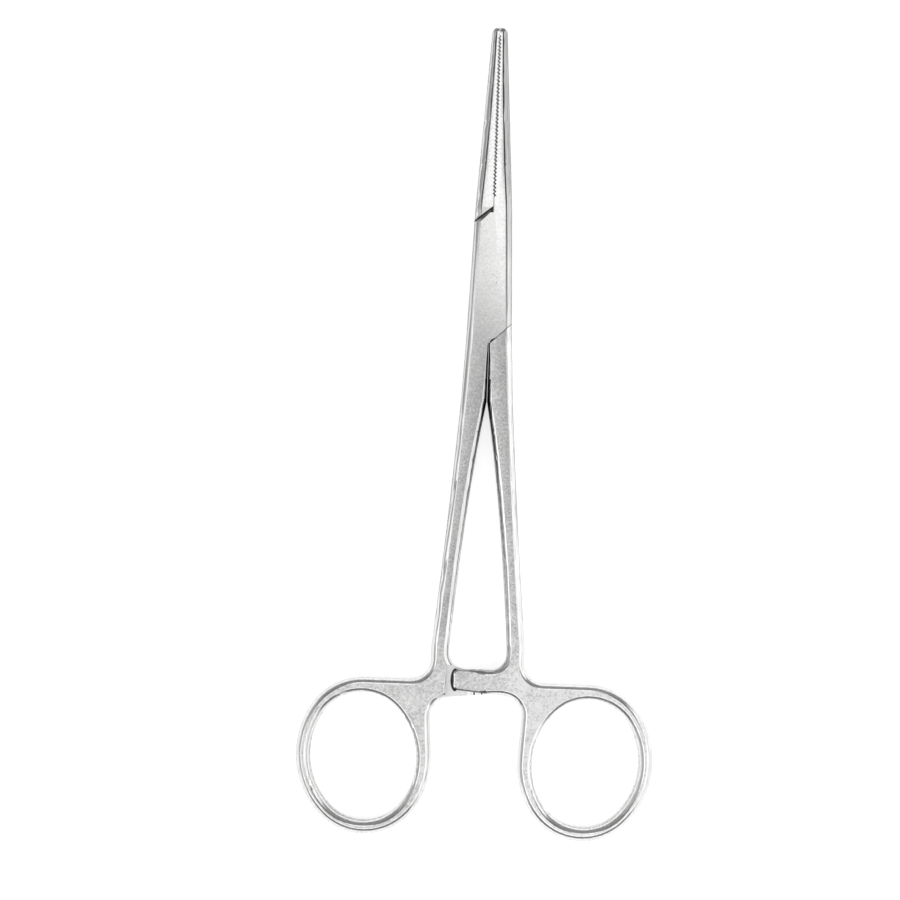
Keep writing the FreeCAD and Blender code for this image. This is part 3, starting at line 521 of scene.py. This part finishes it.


# %% [markdown]
# ## Which face gets which finish
#
# The flats point straight up or down, apart from the slight taper of the jaws and shanks,
# so their normals pick them out. The walls between the jaws, in the lock, in the crotch and
# between the ratchet teeth are dull and painted dark as shade. The steep side inside each
# shank is painted darker as shade. The floor of the ratchet and the shoulder at the front
# seam are left as milled and dull, and painted light. The tongue, which shows only when the
# forceps are open, is rubbed by the box walls and painted black as shade only along the
# foot of its shoulders. Everything else is a bevel or a side.

# %% Tones by place along the instrument, in millimetres from the pin, with painted reflection, shade and light
# Face tones: painted reflection, lighter at the box and jaws and darker along the shanks.
BOX_FACE_TONES_AND_REFLECTION = ((-120, 0.80), (-78, 0.82), (-68, 0.58), (-24, 0.60), (-12, 0.66), (0, 0.86),
             (60, 0.84))
THROUGH_FACE_TONES_AND_REFLECTION = ((-120, 0.86), (-78, 0.92), (-68, 0.72), (-40, 0.62), (-8, 0.54), (0, 0.82),
                 (60, 0.82))
# Bevel tones: painted reflection, darker along the jaws.
BOX_BEVEL_TONES_AND_REFLECTION = ((-120, 0.76), (-76, 0.78), (-60, 0.72), (0, 0.66), (14, 0.60), (20, 0.45),
              (60, 0.42))
THROUGH_BEVEL_TONES_AND_REFLECTION = ((-120, 0.80), (-76, 0.82), (-20, 0.84), (0, 0.78), (14, 0.66), (60, 0.60))
# Wall tones: painted shade, darkest at the handles and near the crotch.
WALL_SHADE_TONES = ((-120, 0.2), (-80.5, 0.2), (-79, 0.5), (-60, 0.55), (-45, 0.40), (-30, 0.22), (-16, 0.14),
         (0, 0.36), (60, 0.36))
# Crevice tone: painted shade, near black.
CREVICE_SHADE_TONES = ((-120, 0.06), (60, 0.06))
# Step tone: painted light, near white.
LIT_STEP_TONES = ((-120, 0.92), (60, 0.92))
# Steel painted near black as shade, for the crevices.
crevice_shade_steel = streaked_steel("crevice_shade_steel", CREVICE_SHADE_TONES, 1.0, 900.0, 0.5, (0.3, 0.5))
# Steel painted dark as shade, for the walls and the steep sides inside the shanks.
walls = streaked_steel("walls", WALL_SHADE_TONES, 1.0, 900.0, 0.2, (0.2, 0.3))
# Steel painted light, for the ratchet's step and floor, the shoulder at the front seam and one
# broken edge at each groove.
lit_steel = streaked_steel("painted_light_steps", LIT_STEP_TONES, 1.0, 1400.0, 0.05, (0.5, 0.6))
rubbed = shaded_rubbed_tongue()
print("dull finishes:", ", ".join(steel.name for steel in (crevice_shade_steel, walls, lit_steel, rubbed)))

# %% Pick a finish for every face
BEVEL, FACE, SHADED_CREVICE, INSIDE_SHADE, PAINTED_LIGHT, RUBBED = range(6)
LOCK_MIDDLE = 2.3
TONGUE_HALF = 0.78
STEEP = 0.9


def finish_of(centre, normal, steep):
    """Pick the finish of a face by where it lies and which way it points.

    Inside the shanks, faces that rise more than steep allows get the wall steel, painted darker as
    shade.
    """
    x, y, z = centre / MM
    upright = abs(normal.z) < UPRIGHT
    inward = normal.x * x < 0

    # The lock: the flats of the tongue, and the slot that they run in, painted dark as shade.
    if abs(z - LOCK_MIDDLE) < 0.9 and abs(normal.z) > STEEP and -17 < y < 18:
        return RUBBED if abs(z - LOCK_MIDDLE) < TONGUE_HALF else SHADED_CREVICE

    # The serrations: of the two broken edges at each groove, one is painted dark as shade and one
    # painted light as a highlight.
    if abs(normal.z) < STEEP and abs(x) < 0.62 and 14.5 < y < 48.6:
        light = abs(normal.z) > UPRIGHT and normal.x * normal.y <= 0
        return PAINTED_LIGHT if light else SHADED_CREVICE

    # The walls of the seams, between the jaws and in the crotch, painted dark as shade.
    if upright and 9 < y < 15.6 and x < -0.7 and normal.y < 0:
        return INSIDE_SHADE
    if upright and -27 < y < 48.5 and (abs(x) < 0.5 or abs(normal.y) > 0.3):
        return SHADED_CREVICE
    if -27 < y < -12 and inward and abs(x) < 1.7 and abs(normal.z) < 0.68:
        return SHADED_CREVICE

    # The ratchet: the oval pocket and the flanks of the teeth are painted dark as shade, the step
    # and the floors painted light.
    if -81.5 < y < -76.9 and -5.3 < x < -3.3 and 1.1 < z < 2.24:
        return SHADED_CREVICE
    if upright and -83.5 < y < -76 and abs(x) < 4.65 and abs(normal.x) > STEEP:
        return SHADED_CREVICE
    if x < -5.9 and -82.8 < y < -76.2 and normal.x > 0.2 and z > 3.5:
        return PAINTED_LIGHT
    if normal.z > 0.99 and (abs(z - 2.25) < 0.02 and y < -76 or 11 < y < 14.3 and x < -0.3):
        return PAINTED_LIGHT

    # The edges of the upper arm, and the steep sides inside the shanks, painted darker as shade.
    if -77.8 < y < -76.9 and -4.6 < x < 3.0 and normal.y > 0.6 and z > LOCK_MIDDLE:
        return INSIDE_SHADE
    if -79.5 < y < -24 and inward and abs(normal.z) < steep:
        return INSIDE_SHADE
    if -81.7 < y < -80.4 and -4.6 < x < 2.0 and normal.y < -0.5 and normal.z > 0:
        return INSIDE_SHADE

    return FACE if abs(normal.z) > LEVEL else BEVEL


def finish(skin, faces, bevels, steep):
    mesh = skin.data
    mesh.materials.clear()
    for material in (bevels, faces, crevice_shade_steel, walls, lit_steel, rubbed):
        mesh.materials.append(material)
    for polygon in mesh.polygons:
        polygon.material_index = finish_of(polygon.center, polygon.normal, steep)
    counts = [sum(polygon.material_index == kind for polygon in mesh.polygons) for kind in range(6)]
    print(skin.name, "bevel, face, crevice, inside, milled and rubbed faces:", counts)


# %% Finish the three pieces
box_faces = face_steel("box_half_faces", -0.006, -0.030, -1, (1.0, 1.0), BOX_FACE_TONES_AND_REFLECTION)
box_bevels = streaked_steel("box_half_bevels", BOX_BEVEL_TONES_AND_REFLECTION, 0.05, 2600.0, 0.14, (0.12, 0.2))
finish(skins["box_half"], box_faces, box_bevels, 0.5)
finish(skins["lock_pin"], box_faces, box_bevels, 0.5)
through_faces = face_steel("through_half_faces", -0.004, -0.012, 1, (0.86, 1.08),
                           THROUGH_FACE_TONES_AND_REFLECTION)
through_bevels = streaked_steel("through_half_bevels", THROUGH_BEVEL_TONES_AND_REFLECTION, 0.05, 2600.0, 0.14,
                                (0.12, 0.2))
finish(skins["through_half"], through_faces, through_bevels, 0.75)

# %% [markdown]
# ## The table
#
# A white table carries the forceps. The camera and the metal's reflections see it as plain
# white, and the rest of the light falls on it as on paper, so that a soft shadow stays
# close to the steel.

# %% Floor
TABLE_SIZE = 3.0
TABLE_GLOW = 0.6


def white_table():
    """Lay the table under the forceps, white to the camera and in reflections."""
    bpy.ops.mesh.primitive_plane_add(size=TABLE_SIZE, location=(0, -0.03, CAD_LOW.z))
    table = bpy.context.object
    table.name = "table"
    material = bpy.data.materials.new("table_white")
    material.use_nodes = True
    nodes, join, add = node_maker(material)
    nodes.clear()
    output = add("ShaderNodeOutputMaterial")
    paper = add("ShaderNodeBsdfDiffuse")
    paper.inputs["Color"].default_value = (0.8, 0.8, 0.8, 1)
    glow = add("ShaderNodeEmission")
    ray = add("ShaderNodeLightPath")
    seen = combine(add, join, "MAXIMUM", ray.outputs["Is Camera Ray"], ray.outputs["Is Glossy Ray"])
    strength = add("ShaderNodeMath", operation="MULTIPLY")
    strength.inputs[1].default_value = TABLE_GLOW
    join(seen, strength.inputs[0])
    join(strength.outputs["Value"], glow.inputs["Strength"])
    both = add("ShaderNodeAddShader")
    join(paper.outputs["BSDF"], both.inputs[0])
    join(glow.outputs["Emission"], both.inputs[1])
    join(both.outputs["Shader"], output.inputs["Surface"])
    table.data.materials.append(material)
    print("table of", round(table.dimensions.x, 2), "m")


white_table()

# %% [markdown]
# ## The studio
#
# Bright metal shows the room. The room is a white tent. Straight above, where the camera
# looks in, it has a dull opening, so that level faces under it come out grey while the
# jaws, which taper and so tip forward, mirror the tent and come out nearly white. Two dark
# screens stand at the sides in front, which draw a dark line beside the faces of the jaws,
# two more stand in front and behind, for the bevels that face along the instrument, and the
# walls are duller near the table, more so on the left.

# %% Walls, soft borders and screens
def wall(add, join, height, levels):
    """Grey levels by height, from the table to straight above."""
    ramp = add("ShaderNodeValToRGB")
    join(height, ramp.inputs["Fac"])
    marks = ramp.color_ramp.elements
    while len(marks) < len(levels):
        marks.new(0.5)
    for mark, (position, level) in zip(marks, levels):
        mark.position = position
        mark.color = (level, level, level, 1)
    return ramp.outputs["Color"]


def step(add, join, value, start, end):
    """0 before start and 1 after end, with a soft rise; start may lie above end."""
    rise = add("ShaderNodeMapRange", interpolation_type="SMOOTHSTEP")
    rise.inputs["From Min"].default_value = start
    rise.inputs["From Max"].default_value = end
    join(value, rise.inputs["Value"])
    return rise.outputs["Result"]


def times(add, join, *values):
    product = values[0]
    for value in values[1:]:
        product = combine(add, join, "MULTIPLY", product, value)
    return product


def paint(add, join, base, amount, level):
    mix = add("ShaderNodeMix", data_type="RGBA")
    join(amount, mix.inputs["Factor"])
    join(base, mix.inputs["A"])
    mix.inputs["B"].default_value = (level, level, level, 1)
    return mix.outputs["Result"]


# %% The tent, its screens and its opening
LEFT_WALL = ((0.0, 1.2), (0.12, 0.4), (0.36, 0.5), (0.55, 0.75), (0.72, 1.5), (0.9, 1.5),
             (1.0, 1.2))
RIGHT_WALL = ((0.0, 0.9), (0.05, 0.5), (0.12, 1.25), (0.55, 1.25), (1.0, 1.2))
SIDE_SCREEN, FRONT_SCREEN, REAR_SCREEN, OPENING = 0.08, 0.3, 0.2, 0.5


def studio():
    world = bpy.data.worlds.new("studio")
    world.use_nodes = True
    bpy.context.scene.world = world
    nodes, join, add = node_maker(world)
    background = nodes["Background"]
    place = add("ShaderNodeTexCoord")
    split = add("ShaderNodeSeparateXYZ")
    join(place.outputs["Generated"], split.inputs["Vector"])
    across, along, up = (split.outputs[axis] for axis in "XYZ")

    left = wall(add, join, up, LEFT_WALL)
    right = wall(add, join, up, RIGHT_WALL)
    walls = add("ShaderNodeMix", data_type="RGBA")
    join(step(add, join, across, -0.25, 0.25), walls.inputs["Factor"])
    join(left, walls.inputs["A"])
    join(right, walls.inputs["B"])
    light = walls.outputs["Result"]

    overhead = step(add, join, up, 0.5, 0.6)
    right_screen = times(add, join, overhead, step(add, join, along, 0.02, 0.07),
                         step(add, join, across, 0.14, 0.2), step(add, join, across, 0.72, 0.62))
    left_screen = times(add, join, overhead, step(add, join, along, 0.07, 0.12),
                        step(add, join, across, -0.14, -0.2), step(add, join, across, -0.78, -0.68))
    light = paint(add, join, light, right_screen, SIDE_SCREEN)
    light = paint(add, join, light, left_screen, SIDE_SCREEN)

    below = step(add, join, up, 0.78, 0.62)
    front_screen = times(add, join, below, step(add, join, along, 0.5, 0.66))
    rear_screen = times(add, join, below, step(add, join, along, -0.5, -0.66))
    light = paint(add, join, light, front_screen, FRONT_SCREEN)
    light = paint(add, join, light, rear_screen, REAR_SCREEN)

    opening = times(add, join, step(add, join, up, 0.9, 0.95),
                    step(add, join, along, 0.10, 0.0), step(add, join, along, -0.26, -0.18),
                    step(add, join, across, 0.22, 0.12), step(add, join, across, -0.22, -0.12))
    light = paint(add, join, light, opening, OPENING)
    join(light, background.inputs["Color"])
    background.inputs["Strength"].default_value = 1.0
    print("studio of", len(nodes), "nodes")


studio()
bpy.context.scene.view_settings.view_transform = "Standard"
